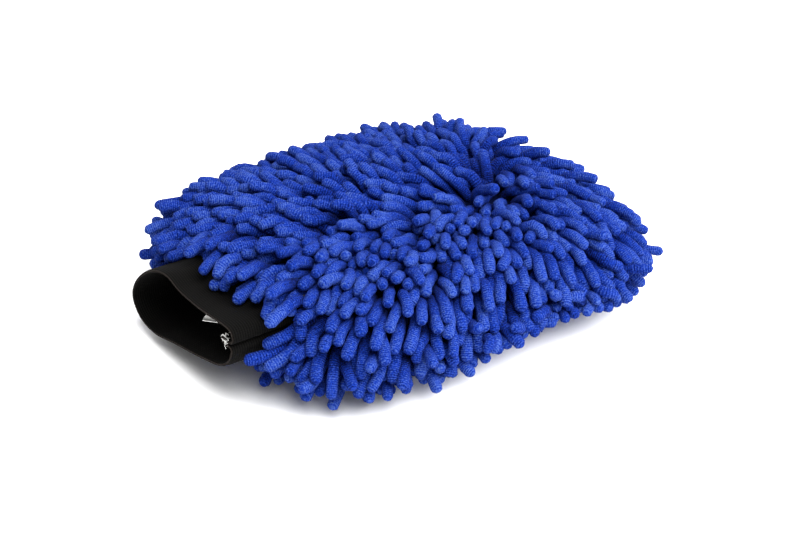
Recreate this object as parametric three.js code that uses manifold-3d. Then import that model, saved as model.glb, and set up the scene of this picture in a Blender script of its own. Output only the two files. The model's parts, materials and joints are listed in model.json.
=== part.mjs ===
// A chenille wash mitt with a ribbed elastic wrist cuff, lying palm down. Millimetres, +Z up.
// +X runs from the cuff to the fingertips and +Y across the hand. The origin is the middle of the
// box around the whole mitt, on the surface that it lies on.
import * as THREE from "three";
import { mergeVertices } from "three/addons/utils/BufferGeometryUtils.js";
import Module from "manifold-3d";

const wasm = await Module();
wasm.setup();

// The pile of chenille noodles as it lies, measured over the noodle tips
const PILE_LENGTH = 235;
const PILE_WIDTH = 218;
const PILE_HEIGHT = 73;
const SEAM_HEIGHT = 31;
const TOP_PILE = 18;
const PALM_PILE = 13;
const SIDE_PILE = 22;
const TIP_PILE = 22;
const WRIST_OVERHANG = 18;
const PALM_SINK = 3; // how far the palm side is pressed flat by the weight of the mitt

// How full the corners are: 2 is an ellipse, and more is squarer
const PLAN_POWER = 4.5;
const TOP_POWER = 2.6;
const PALM_POWER = 3.5;

// Noodle rows, which run lengthwise, and the tufts between them at the fingertips and the wrist
const TOP_ROWS = 14;
const PALM_ROWS = 14;
const TIP_TUFTS = 6;
const TUFT_WRAP = 12; // how far the end tufts reach back over the pouch's rounded ends
const ROW_GAP = 0.6;

// The pouch under the pile, from the outside in
const BACKING = 1.2;
const FOAM = 4;
const LINING = 0.8;
const LAYER_GAP = 0.4;
const SEAM_BAND = 2; // the two panels' edges, laid together
const OVERLOCK_WIDTH = 1.5;

// The wrist cuff: a strip of elastic sewn into a ring, with its two ends turned in at the seam
const CUFF_REACH = 21; // from the pile to the mouth
const CUFF_TUCK = 4; // from the wrist seam into the pouch
const ELASTIC = 1.8;
const CUFF_CLEARANCE = 2.5;
const CUFF_TILT = [-10, 0, 10, 20]; // degrees about the wrist seam, down to up
const CUFF_LINE = [ // across the hand, and up from the side seam
  [-57.5, 13.5], [-53, 17.5], [-28, 15.8], [-8, 16.2], [7, 19], [24, 14], [41, 2], [49, -11],
  [42, -20.5], [26, -22.5], [5, -18], [-22, -12.5], [-43, -7], [-52, -1], [-55.5, 5],
];
const CUFF_SEAM_LINE = [-53, 9];
const TURN_IN = 6; // length of each turned-in end
const TAPE = 1.4; // the tape sewn round the wrist opening
const TAPE_WIDTH = 10;

// The care label, sewn in at the wrist seam under the cuff's top wall
const LABEL_LENGTH = 35;
const LABEL_WIDTH = 15;
const LABEL_THICKNESS = 0.5;
const LABEL_Y = -37;
const LABEL_DROP = 2.1; // from the middle of the elastic down to the middle of the label

// Facets
const AROUND = 24;
const ALONG = 12;
const RING_STEPS = 64;
const MERGE = 1e-4;

// Places along X, from the origin in the middle
const TIP_X = (PILE_LENGTH + CUFF_REACH) / 2;
const MOUTH_X = -TIP_X;
const FRINGE_X = MOUTH_X + CUFF_REACH;
const WRIST_SEAM_X = FRINGE_X + WRIST_OVERHANG;
const POUCH_TIP_X = TIP_X - TIP_PILE;
const CUFF_END_X = WRIST_SEAM_X + CUFF_TUCK;
const WALL = BACKING + FOAM + LINING + 2 * LAYER_GAP;
const FAR = PILE_LENGTH + PILE_WIDTH; // longer than anything here
const CUFF_RING = CUFF_LINE.map(([y, rise]) => [y, SEAM_HEIGHT + rise]);
const CUFF_SEAM = [CUFF_SEAM_LINE[0], SEAM_HEIGHT + CUFF_SEAM_LINE[1]];

const colours = {
  pile: { color: 0x2743a8, roughness: 0.95, metalness: 0 },
  backing: { color: 0x0d1230, roughness: 0.95, metalness: 0 },
  foam: { color: 0xd8d2c0, roughness: 0.9, metalness: 0 },
  lining: { color: 0x0c0c0e, roughness: 0.85, metalness: 0 },
  seam: { color: 0x14161c, roughness: 0.9, metalness: 0 },
  elastic: { color: 0x171717, roughness: 0.8, metalness: 0 },
  thread: { color: 0xd9d7d0, roughness: 0.7, metalness: 0 },
  label: { color: 0xeeece6, roughness: 0.5, metalness: 0 },
};

const mitt = new THREE.Group();

/** A power that keeps the sign of its base. */
function signedPower(base, power) {
  return Math.sign(base) * Math.abs(base) ** power;
}

/** A closed three.js geometry as a solid that can be cut and joined. */
function solid(geometry) {
  geometry.deleteAttribute("normal");
  geometry.deleteAttribute("uv");
  const merged = mergeVertices(geometry, MERGE);
  const mesh = new wasm.Mesh({
    numProp: 3,
    vertProperties: new Float32Array(merged.attributes.position.array),
    triVerts: new Uint32Array(merged.index.array),
  });
  return new wasm.Manifold(mesh);
}

/** Adds a solid to the mitt as a named mesh. */
function add(name, shape, finish) {
  const mesh = shape.getMesh();
  const geometry = new THREE.BufferGeometry();
  geometry.setAttribute("position", new THREE.BufferAttribute(mesh.vertProperties, 3));
  geometry.setIndex(new THREE.BufferAttribute(mesh.triVerts, 1));
  geometry.computeVertexNormals();
  const node = new THREE.Mesh(geometry, new THREE.MeshStandardMaterial(colours[finish]));
  node.name = name;
  mitt.add(node);
}

/** A box between two corners. */
function block(low, high) {
  const size = high.map((value, axis) => value - low[axis]);
  const box = new THREE.BoxGeometry(...size);
  box.translate(...low.map((value, axis) => value + size[axis] / 2));
  return solid(box);
}

/** A [y, z] outline carried along X from one place to another. */
function alongX(points, from, to) {
  const shape = new THREE.Shape(points.map(([y, z]) => new THREE.Vector2(y, z)));
  const prism = new THREE.ExtrudeGeometry(shape, { depth: to - from, bevelEnabled: false });
  const axes = [[0, 1, 0], [0, 0, 1], [1, 0, 0]].map((axis) => new THREE.Vector3(...axis));
  prism.applyMatrix4(new THREE.Matrix4().makeBasis(...axes));
  prism.translate(from, 0, 0);
  return solid(prism);
}

/** The sizes of the pile's outside. */
const pileSize = {
  wrist: FRINGE_X,
  tip: TIP_X,
  side: PILE_WIDTH / 2,
  top: PILE_HEIGHT - SEAM_HEIGHT,
  palm: SEAM_HEIGHT + PALM_SINK,
};

/** The sizes of a layer of the pouch, some way in from its outside. */
function pouchSize(inset) {
  return {
    wrist: WRIST_SEAM_X + inset,
    tip: POUCH_TIP_X - inset,
    side: PILE_WIDTH / 2 - SIDE_PILE - inset,
    top: PILE_HEIGHT - SEAM_HEIGHT - TOP_PILE - inset,
    palm: SEAM_HEIGHT - PALM_PILE - inset,
  };
}

/** A closed pillow: a superellipse in plan, and another in section, fuller below the side seam. */
function pillow(size) {
  const ball = new THREE.SphereGeometry(1, AROUND, ALONG);
  ball.rotateZ(Math.PI / 2);
  const middle = (size.wrist + size.tip) / 2;
  const reach = (size.tip - size.wrist) / 2;
  const points = ball.attributes.position;
  for (let i = 0; i < points.count; i += 1) {
    const ring = Math.hypot(points.getY(i), points.getZ(i));
    const swell = ring ** (2 / PLAN_POWER);
    const above = points.getZ(i) > 0;
    const power = 2 / (above ? TOP_POWER : PALM_POWER);
    const height = above ? size.top : size.palm;
    const x = middle + reach * signedPower(points.getX(i), 2 / PLAN_POWER);
    const y = size.side * swell * signedPower(points.getY(i) / (ring || 1), power);
    const z = SEAM_HEIGHT + height * swell * signedPower(points.getZ(i) / (ring || 1), power);
    points.setXYZ(i, x, Math.abs(y) < MERGE ? 0 : y, z);
  }
  return solid(ball);
}

/** Points evenly spaced over one half of a pillow's widest section, from +Y to -Y. */
function halfSection(size, above, count) {
  const power = 2 / (above ? TOP_POWER : PALM_POWER);
  const height = above ? size.top : -size.palm;
  const points = [];
  for (let i = 0; i <= 4 * count; i += 1) {
    const turn = (Math.PI * i) / (4 * count);
    const y = size.side * signedPower(Math.cos(turn), power);
    points.push(new THREE.Vector2(y, SEAM_HEIGHT + height * Math.sin(turn) ** power));
  }
  const curve = new THREE.SplineCurve(points);
  curve.arcLengthDivisions = 16 * count;
  return curve.getSpacedPoints(count);
}

/** The closed outline of the space that the pouch fills, with one side for each noodle row. */
function coreOutline(inset) {
  const top = halfSection(pouchSize(inset), true, TOP_ROWS);
  const palm = halfSection(pouchSize(inset), false, PALM_ROWS);
  const round = [...top, ...palm.reverse().slice(1, -1)];
  return round.map((point) => [point.x, point.y]);
}

/** The wedge between two neighbouring lines across the pile, less half a gap on each side. */
function rowWedge(inner, outer, index) {
  const [start, end] = [index, index + 1].map((i) => {
    const across = outer[i].clone().sub(inner[i]);
    const beside = new THREE.Vector2(-across.y, across.x).normalize().multiplyScalar(ROW_GAP / 2);
    return { low: inner[i], high: inner[i].clone().addScaledVector(across, 2), beside };
  });
  const turn = Math.sign(end.high.clone().sub(start.high).dot(start.beside));
  const corners = [
    start.low.clone().addScaledVector(start.beside, turn),
    start.high.clone().addScaledVector(start.beside, turn),
    end.high.clone().addScaledVector(end.beside, -turn),
    end.low.clone().addScaledVector(end.beside, -turn),
  ];
  return alongX(corners.map((corner) => [corner.x, corner.y]), -FAR, FAR);
}

/** The cuff's ring with the seam left out, moved outwards, as a closed outline. */
function cuffOutline(outset) {
  const ring = CUFF_RING.map(([y, z]) => new THREE.Vector3(y, z, 0));
  const curve = new THREE.CatmullRomCurve3(ring, true);
  const points = [];
  for (let i = 0; i < RING_STEPS / 2; i += 1) {
    const at = curve.getPointAt((2 * i) / RING_STEPS);
    const along = curve.getTangentAt((2 * i) / RING_STEPS);
    points.push([at.x - outset * along.y, at.y + outset * along.x]);
  }
  return points;
}

/** The elastic strip's section: in from one turned end, round the ring, and out at the other. */
function elasticOutline() {
  const lip = ELASTIC / 2 + LAYER_GAP / 2;
  const [seamY, seamZ] = CUFF_SEAM;
  const upper = [[seamY + TURN_IN, seamZ + lip], [seamY + TURN_IN / 2, seamZ + lip]];
  const lower = [[seamY + TURN_IN / 2, seamZ - lip], [seamY + TURN_IN, seamZ - lip]];
  const corners = [[seamY - 1, seamZ + 1.4 * lip], [seamY - 1, seamZ - 1.4 * lip]];
  const route = [...upper, corners[0], ...CUFF_RING, corners[1], ...lower];
  const line = route.map(([y, z]) => new THREE.Vector3(y, z, 0));
  const curve = new THREE.CatmullRomCurve3(line, false, "centripetal");
  const sides = [[], []];
  for (let i = 0; i <= RING_STEPS; i += 1) {
    const at = curve.getPointAt(i / RING_STEPS);
    const along = curve.getTangentAt(i / RING_STEPS);
    sides[0].push([at.x - (ELASTIC / 2) * along.y, at.y + (ELASTIC / 2) * along.x]);
    sides[1].unshift([at.x + (ELASTIC / 2) * along.y, at.y - (ELASTIC / 2) * along.x]);
  }
  return sides.flat();
}

/** All the space that the cuff passes through as it tilts, with its clearance. */
function cuffSweep() {
  const outline = cuffOutline(ELASTIC / 2 + CUFF_CLEARANCE);
  const still = alongX(outline, MOUTH_X, CUFF_END_X + CUFF_CLEARANCE);
  const turned = CUFF_TILT.map((angle) => {
    const centred = still.translate([-WRIST_SEAM_X, 0, -SEAM_HEIGHT]).rotate([0, angle, 0]);
    return centred.translate([WRIST_SEAM_X, 0, SEAM_HEIGHT]);
  });
  return turned.reduce((all, one) => all.add(one));
}

/** The rows of noodles that run from the wrist to the fingertips on one side of the mitt. */
function addRows(prefix, above, count, pile, keepOut) {
  const inner = halfSection(pouchSize(-LAYER_GAP), above, count);
  const outer = halfSection(pileSize, above, count);
  for (let row = 0; row < count; row += 1) {
    const strip = pile.intersect(rowWedge(inner, outer, row)).subtract(keepOut);
    add(`${prefix}_noodle_row_${String(row + 1).padStart(2, "0")}`, strip, "pile");
  }
}

/** The tufts that fill the pile beyond the pouch's fingertip end. */
function addTipTufts(core, keepOut) {
  const side = PILE_WIDTH / 2 - SIDE_PILE;
  const width = (2 * side) / TIP_TUFTS;
  const end = core.subtract(keepOut);
  for (let i = 0; i < TIP_TUFTS; i += 1) {
    const left = side - i * width;
    const low = [POUCH_TIP_X - TUFT_WRAP, left - width + ROW_GAP / 2, 0];
    const tuft = end.intersect(block(low, [FAR, left - ROW_GAP / 2, PILE_HEIGHT]));
    add(`tip_noodle_tuft_${i + 1}`, tuft, "pile");
  }
}

/** The tufts beside the cuff at the wrist end. */
function addWristTufts(core, keepOut) {
  const across = CUFF_RING.map(([y]) => y);
  const spare = ELASTIC / 2 + CUFF_CLEARANCE;
  const end = core.subtract(keepOut);
  const inside = WRIST_SEAM_X + TUFT_WRAP;
  const left = block([-FAR, Math.max(...across) + spare, 0], [inside, FAR, PILE_HEIGHT]);
  const right = block([-FAR, -FAR, 0], [inside, Math.min(...across) - spare, PILE_HEIGHT]);
  add("wrist_noodle_tuft_left", end.intersect(left), "pile");
  add("wrist_noodle_tuft_right", end.intersect(right), "pile");
}

/** One layer of the pouch as a top and a palm panel, open at the wrist and parted by the seam. */
function addPanels(name, inset, thickness, opening, finish) {
  const shell = pillow(pouchSize(inset)).subtract(pillow(pouchSize(inset + thickness)));
  const open = shell.subtract(opening);
  const half = SEAM_BAND / 2 + LAYER_GAP;
  const above = block([-FAR, -FAR, SEAM_HEIGHT + half], [FAR, FAR, FAR]);
  const below = block([-FAR, -FAR, -FAR], [FAR, FAR, SEAM_HEIGHT - half]);
  add(`top_${name}`, open.intersect(above), finish);
  add(`palm_${name}`, open.intersect(below), finish);
}

/** The side seam: the panels' joined edges, and the thread that binds their inner rim. */
function addSideSeam(opening) {
  const low = [-FAR, -FAR, SEAM_HEIGHT - SEAM_BAND / 2];
  const band = block(low, [FAR, FAR, SEAM_HEIGHT + SEAM_BAND / 2]).subtract(opening);
  const edge = WALL - OVERLOCK_WIDTH - LAYER_GAP;
  const allowance = pillow(pouchSize(0)).subtract(pillow(pouchSize(edge)));
  const thread = pillow(pouchSize(edge + LAYER_GAP)).subtract(pillow(pouchSize(WALL)));
  add("side_seam_allowance", band.intersect(allowance), "seam");
  add("side_overlock_thread", band.intersect(thread), "seam");
}

/** The tape sewn round the wrist opening, clear of the cuff that passes through it. */
function addWristTape() {
  const inside = ELASTIC / 2 + CUFF_CLEARANCE;
  const from = WRIST_SEAM_X;
  const ring = alongX(cuffOutline(inside + TAPE), from, from + TAPE_WIDTH);
  add("wrist_seam_tape", ring.subtract(alongX(cuffOutline(inside), -FAR, FAR)), "seam");
}

/** The cuff: its elastic ring, and the white overlock thread that binds the turned-in ends. */
function addCuff() {
  add("cuff_elastic", alongX(elasticOutline(), MOUTH_X, CUFF_END_X), "elastic");
  const [seamY, seamZ] = CUFF_SEAM;
  const half = ELASTIC + LAYER_GAP / 2;
  const start = seamY + TURN_IN + LAYER_GAP;
  const low = [MOUTH_X, start, seamZ - half];
  const high = [CUFF_END_X, start + OVERLOCK_WIDTH, seamZ + half];
  add("cuff_overlock_thread", block(low, high), "thread");
}

/** The care label, flat under the cuff's top wall with its free end just inside the mouth. */
function addLabel() {
  const tops = CUFF_RING.filter(([y, z]) => Math.abs(y - LABEL_Y) < LABEL_WIDTH && z > SEAM_HEIGHT);
  const wall = Math.min(...tops.map(([, z]) => z));
  const top = wall - LABEL_DROP + LABEL_THICKNESS / 2;
  const low = [WRIST_SEAM_X - LABEL_LENGTH, LABEL_Y - LABEL_WIDTH / 2, top - LABEL_THICKNESS];
  add("care_label", block(low, [WRIST_SEAM_X, LABEL_Y + LABEL_WIDTH / 2, top]), "label");
}

const opening = cuffSweep();
const tapeSpace = ELASTIC / 2 + CUFF_CLEARANCE + TAPE + LAYER_GAP;
const tapeEnd = WRIST_SEAM_X + TAPE_WIDTH + LAYER_GAP;
const wristOpening = opening.add(alongX(cuffOutline(tapeSpace), WRIST_SEAM_X - LAYER_GAP, tapeEnd));
const surface = block([-FAR, -FAR, 0], [FAR, FAR, FAR]);
const pile = pillow(pileSize).intersect(surface);
const keepOut = pillow(pouchSize(-LAYER_GAP)).add(wristOpening);
const core = pile.intersect(alongX(coreOutline(ROW_GAP - LAYER_GAP), -FAR, FAR));

addRows("top", true, TOP_ROWS, pile, keepOut);
addRows("palm", false, PALM_ROWS, pile, keepOut);
addTipTufts(core, keepOut);
addWristTufts(core, keepOut);
addPanels("backing_cloth", 0, BACKING, wristOpening, "backing");
addPanels("foam_pad", BACKING + LAYER_GAP, FOAM, wristOpening, "foam");
addPanels("lining", WALL - LINING, LINING, wristOpening, "lining");
addSideSeam(wristOpening);
addWristTape();
addCuff();
addLabel();

export default mitt;
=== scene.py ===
"""Looks of the chenille wash mitt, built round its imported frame.

Metres, +Z up. +X runs from the cuff to the fingertips and +Y across the hand. Every place comes from the
frame's boxes and joints, and every sub-assembly is a class that builds and dresses its own pieces.
"""

import json
import logging
import math
from dataclasses import dataclass, field
from enum import Enum

import bpy
import numpy as np
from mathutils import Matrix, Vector


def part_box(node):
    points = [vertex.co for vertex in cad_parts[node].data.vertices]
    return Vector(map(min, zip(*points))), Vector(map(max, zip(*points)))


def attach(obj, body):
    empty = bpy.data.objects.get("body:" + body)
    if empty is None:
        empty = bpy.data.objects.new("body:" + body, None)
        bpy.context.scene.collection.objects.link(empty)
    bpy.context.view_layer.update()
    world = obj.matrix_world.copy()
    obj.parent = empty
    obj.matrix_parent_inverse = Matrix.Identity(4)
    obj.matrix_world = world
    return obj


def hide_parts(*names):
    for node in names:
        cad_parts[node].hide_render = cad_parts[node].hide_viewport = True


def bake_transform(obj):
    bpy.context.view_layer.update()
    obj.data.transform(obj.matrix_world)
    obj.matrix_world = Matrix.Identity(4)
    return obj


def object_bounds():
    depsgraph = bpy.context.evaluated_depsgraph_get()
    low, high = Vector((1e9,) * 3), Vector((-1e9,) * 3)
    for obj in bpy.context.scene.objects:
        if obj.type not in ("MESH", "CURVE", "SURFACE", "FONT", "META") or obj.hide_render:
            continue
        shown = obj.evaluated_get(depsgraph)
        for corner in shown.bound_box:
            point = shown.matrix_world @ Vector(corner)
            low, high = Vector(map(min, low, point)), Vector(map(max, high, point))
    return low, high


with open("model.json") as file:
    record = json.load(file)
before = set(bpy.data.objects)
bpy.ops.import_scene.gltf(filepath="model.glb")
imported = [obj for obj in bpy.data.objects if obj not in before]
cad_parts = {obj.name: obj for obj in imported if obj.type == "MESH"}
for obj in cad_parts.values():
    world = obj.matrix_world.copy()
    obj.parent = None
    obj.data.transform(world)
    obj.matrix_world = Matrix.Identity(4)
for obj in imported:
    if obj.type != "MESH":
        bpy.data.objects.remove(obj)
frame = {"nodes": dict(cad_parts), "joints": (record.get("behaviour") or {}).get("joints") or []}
CAD_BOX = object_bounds()

logging.basicConfig(level=logging.INFO, format="%(name)s: %(message)s")
LOG = logging.getLogger("wash_mitt")

MM = 0.001
FRINGE_REACH = 4.0 * MM  # how far the noodles at the wrist reach beyond their rows' boxes
PALM_SLACK = 3.0 * MM  # how far the pile's outside goes below the floor, which then flattens the palm
POLE_BULGE = 0.35  # how far a tube's end pole stands beyond its last ring, as a share of the radius
FINE_STEPS = 4001  # samples of a curve before it is divided evenly
Array = np.ndarray


class Half(Enum):
    """The two halves of the pouch, above and below the side seam."""

    TOP = 1
    PALM = -1


def signed_power(base: Array, power: float) -> Array:
    """A power that keeps the sign of its base."""
    return np.sign(base) * np.abs(base) ** power


def unit(vectors: Array) -> Array:
    """Vectors along the last axis, scaled to length one."""
    return vectors / np.maximum(np.linalg.norm(vectors, axis=-1, keepdims=True), 1e-12)


def running_length(line: Array) -> Array:
    """The length along a line of points from its first point to each of them."""
    return np.concatenate([[0.0], np.cumsum(np.linalg.norm(np.diff(line, axis=0), axis=1))])


def smooth_step(value: Array) -> Array:
    """The cubic that rises smoothly from 0 at 0 to 1 at 1."""
    share = np.clip(value, 0.0, 1.0)
    return share * share * (3.0 - 2.0 * share)


def catmull_rom(knots: tuple[Array, Array, Array, Array], share: Array) -> Array:
    """The smooth curve between the middle two of four knots.

    Args:
        knots: the knot before, the two that the curve joins, and the knot after.
        share: how far along the curve, from 0 to 1.

    Returns:
        The points at those shares.
    """
    a, b, c, d = knots
    slope = (c - a) * share
    bow = (2 * a - 5 * b + 4 * c - d) * share**2
    twist = (3 * b - a - 3 * c + d) * share**3
    return 0.5 * (2 * b + slope + bow + twist)


# ---------------------------------------------------------------------------------------------------------
# Meshes
# ---------------------------------------------------------------------------------------------------------


@dataclass
class Surface:
    """Faces over shared points, with a texture coordinate at each face corner."""

    points: Array
    quads: Array
    quad_uv: Array
    tris: Array = field(default_factory=lambda: np.zeros((0, 3), int))
    tri_uv: Array = field(default_factory=lambda: np.zeros((0, 3, 2)))
    tone: Array | None = None

    def to_object(self, name: str, smooth: bool = True) -> bpy.types.Object:
        """Puts the arrays into a mesh object at the origin.

        Args:
            name: the piece's name.
            smooth: whether its faces are shaded smooth.

        Returns:
            The new object, linked to the scene.
        """
        mesh = bpy.data.meshes.new(name)
        loops = np.concatenate([self.quads.ravel(), self.tris.ravel()]).astype(np.int32)
        sizes = np.concatenate([np.full(len(self.quads), 4), np.full(len(self.tris), 3)])
        starts = np.concatenate([[0], np.cumsum(sizes)[:-1]]).astype(np.int32)
        mesh.vertices.add(len(self.points))
        mesh.vertices.foreach_set("co", self.points.astype(np.float32).ravel())
        mesh.loops.add(len(loops))
        mesh.loops.foreach_set("vertex_index", loops)
        mesh.polygons.add(len(sizes))
        mesh.polygons.foreach_set("loop_start", starts)
        mesh.update(calc_edges=True)
        uv = np.concatenate([self.quad_uv.reshape(-1, 2), self.tri_uv.reshape(-1, 2)])
        mesh.uv_layers.new(name="along").data.foreach_set("uv", uv.astype(np.float32).ravel())
        if self.tone is not None:
            tone = mesh.attributes.new("tone", "FLOAT", "POINT")
            tone.data.foreach_set("value", self.tone.astype(np.float32))
        mesh.polygons.foreach_set("use_smooth", np.full(len(sizes), smooth))
        mesh.validate()
        piece = bpy.data.objects.new(name, mesh)
        bpy.context.scene.collection.objects.link(piece)
        return piece


def make_piece(
    surface: Surface, name: str, material: bpy.types.Material, smooth: bool = True
) -> bpy.types.Object:
    """Makes a surface into a piece with its material.

    Args:
        surface: its faces.
        name: the piece's name.
        material: its finish.
        smooth: whether its faces are shaded smooth.

    Returns:
        The piece, which still has to be told what it rides on and stands for.
    """
    piece = surface.to_object(name, smooth)
    piece.data.materials.append(material)
    return piece


def grid_quads(rows: int, columns: int, closed: bool) -> Array:
    """Corner indices of the quads of a grid.

    Args:
        rows: points along the first way.
        columns: points along the second way.
        closed: whether the last column joins the first.

    Returns:
        An array of quads, rows first, each a list of four point indices.
    """
    i, j = np.meshgrid(np.arange(rows - 1), np.arange(columns if closed else columns - 1), indexing="ij")
    right = (j + 1) % columns
    corners = [i * columns + j, (i + 1) * columns + j, (i + 1) * columns + right, i * columns + right]
    return np.stack(corners, axis=-1).reshape(-1, 4)


def grid_uv(along: Array, around: Array) -> Array:
    """Texture coordinates for the quads of grid_quads.

    Args:
        along: the value of each row.
        around: the value of each column, with one more at the end where the grid is closed.

    Returns:
        One (around, along) pair for each corner of each quad.
    """
    low, high = along[:-1], along[1:]
    left, right = around[:-1], around[1:]
    v = np.stack(np.broadcast_arrays(low[:, None], high[:, None], high[:, None], low[:, None]), -1)
    u = np.stack(np.broadcast_arrays(left[None], left[None], right[None], right[None]), -1)
    v = np.broadcast_to(v, (len(low), len(left), 4))
    u = np.broadcast_to(u, (len(low), len(left), 4))
    return np.stack([u, v], axis=-1).reshape(-1, 4, 2)


def tube(centre: Array, radius: Array, sides: int, tone: Array | None = None) -> Surface:
    """Round tubes with closed ends along many paths at once.

    Each ring is the circle centre + radius (cos a N + sin a B), where N and B are square to the path. Each
    end closes on a pole.

    Args:
        centre: paths x rings x 3, the centre of each ring.
        radius: paths x rings, the radius of each ring.
        sides: points round each ring.
        tone: one value for each path.

    Returns:
        One surface that holds all the tubes. Its texture runs round by turns and along by metres.
    """
    paths, rings = radius.shape
    ahead = unit(np.gradient(centre, axis=1))
    chord = unit(centre[:, -1] - centre[:, 0])
    away = np.eye(3)[np.argmin(np.abs(chord), axis=1)][:, None, :]
    normal = unit(away - np.sum(away * ahead, axis=-1, keepdims=True) * ahead)
    across = np.cross(ahead, normal)
    angle = np.linspace(0.0, 2.0 * np.pi, sides, endpoint=False)[:, None]
    circle = np.cos(angle) * normal[:, :, None] + np.sin(angle) * across[:, :, None]
    walls = centre[:, :, None] + radius[:, :, None, None] * circle
    bulge = POLE_BULGE * radius[:, -1:] * ahead[:, -1]
    ends = np.stack([centre[:, 0], centre[:, -1] + bulge], axis=1)
    block = rings * sides + 2
    points = np.concatenate([walls.reshape(paths, -1, 3), ends], axis=1).reshape(-1, 3)
    start = (np.arange(paths) * block)[:, None, None]
    quads = (grid_quads(rings, sides, True)[:, ::-1] + start).reshape(-1, 4)
    j = np.arange(sides)
    k = (j + 1) % sides
    last = (rings - 1) * sides
    first_fan = np.stack([np.full(sides, rings * sides), k, j], -1)
    last_fan = np.stack([np.full(sides, rings * sides + 1), last + j, last + k], -1)
    tris = (np.concatenate([first_fan, last_fan]) + start).reshape(-1, 3)
    run = running_length(centre[0])
    uv = grid_uv(run, np.arange(sides + 1) / sides)[:, ::-1]
    fan = np.zeros((2 * sides, 3, 2))
    fan[:, :, 0] = (np.concatenate([j, j]) / sides)[:, None]
    fan[sides:, :, 1] = run[-1]
    return Surface(
        points,
        quads,
        np.tile(uv, (paths, 1, 1)),
        tris,
        np.tile(fan, (paths, 1, 1)),
        None if tone is None else np.repeat(tone, block),
    )


def slab(outer: Array, inner: Array, along: Array, around: Array) -> Surface:
    """A closed sheet between two open grids of the same size, joined round their rims.

    Args:
        outer: rows x columns x 3, the outer face, whose quads face outwards.
        inner: the inner face, point for point under the outer one.
        along: texture value of each row.
        around: texture value of each column.

    Returns:
        The closed surface.
    """
    rows, columns = outer.shape[:2]
    count = rows * columns
    index = np.arange(count).reshape(rows, columns)
    face = grid_quads(rows, columns, False)
    rim = np.concatenate([index[:, 0], index[-1, 1:], index[-2::-1, -1], index[0, -2:0:-1]])
    ahead = np.roll(rim, -1)
    wall = np.stack([rim, rim + count, ahead + count, ahead], -1)
    uv = grid_uv(along, around)
    flat = np.stack(np.meshgrid(around, along), -1).reshape(-1, 2)
    wall_uv = flat[wall % count]
    return Surface(
        np.concatenate([outer.reshape(-1, 3), inner.reshape(-1, 3)]),
        np.concatenate([face, face[:, ::-1] + count, wall[:, ::-1]]),
        np.concatenate([uv, uv[:, ::-1], wall_uv[:, ::-1]]),
    )


# ---------------------------------------------------------------------------------------------------------
# The shapes that everything is laid out on
# ---------------------------------------------------------------------------------------------------------


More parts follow.
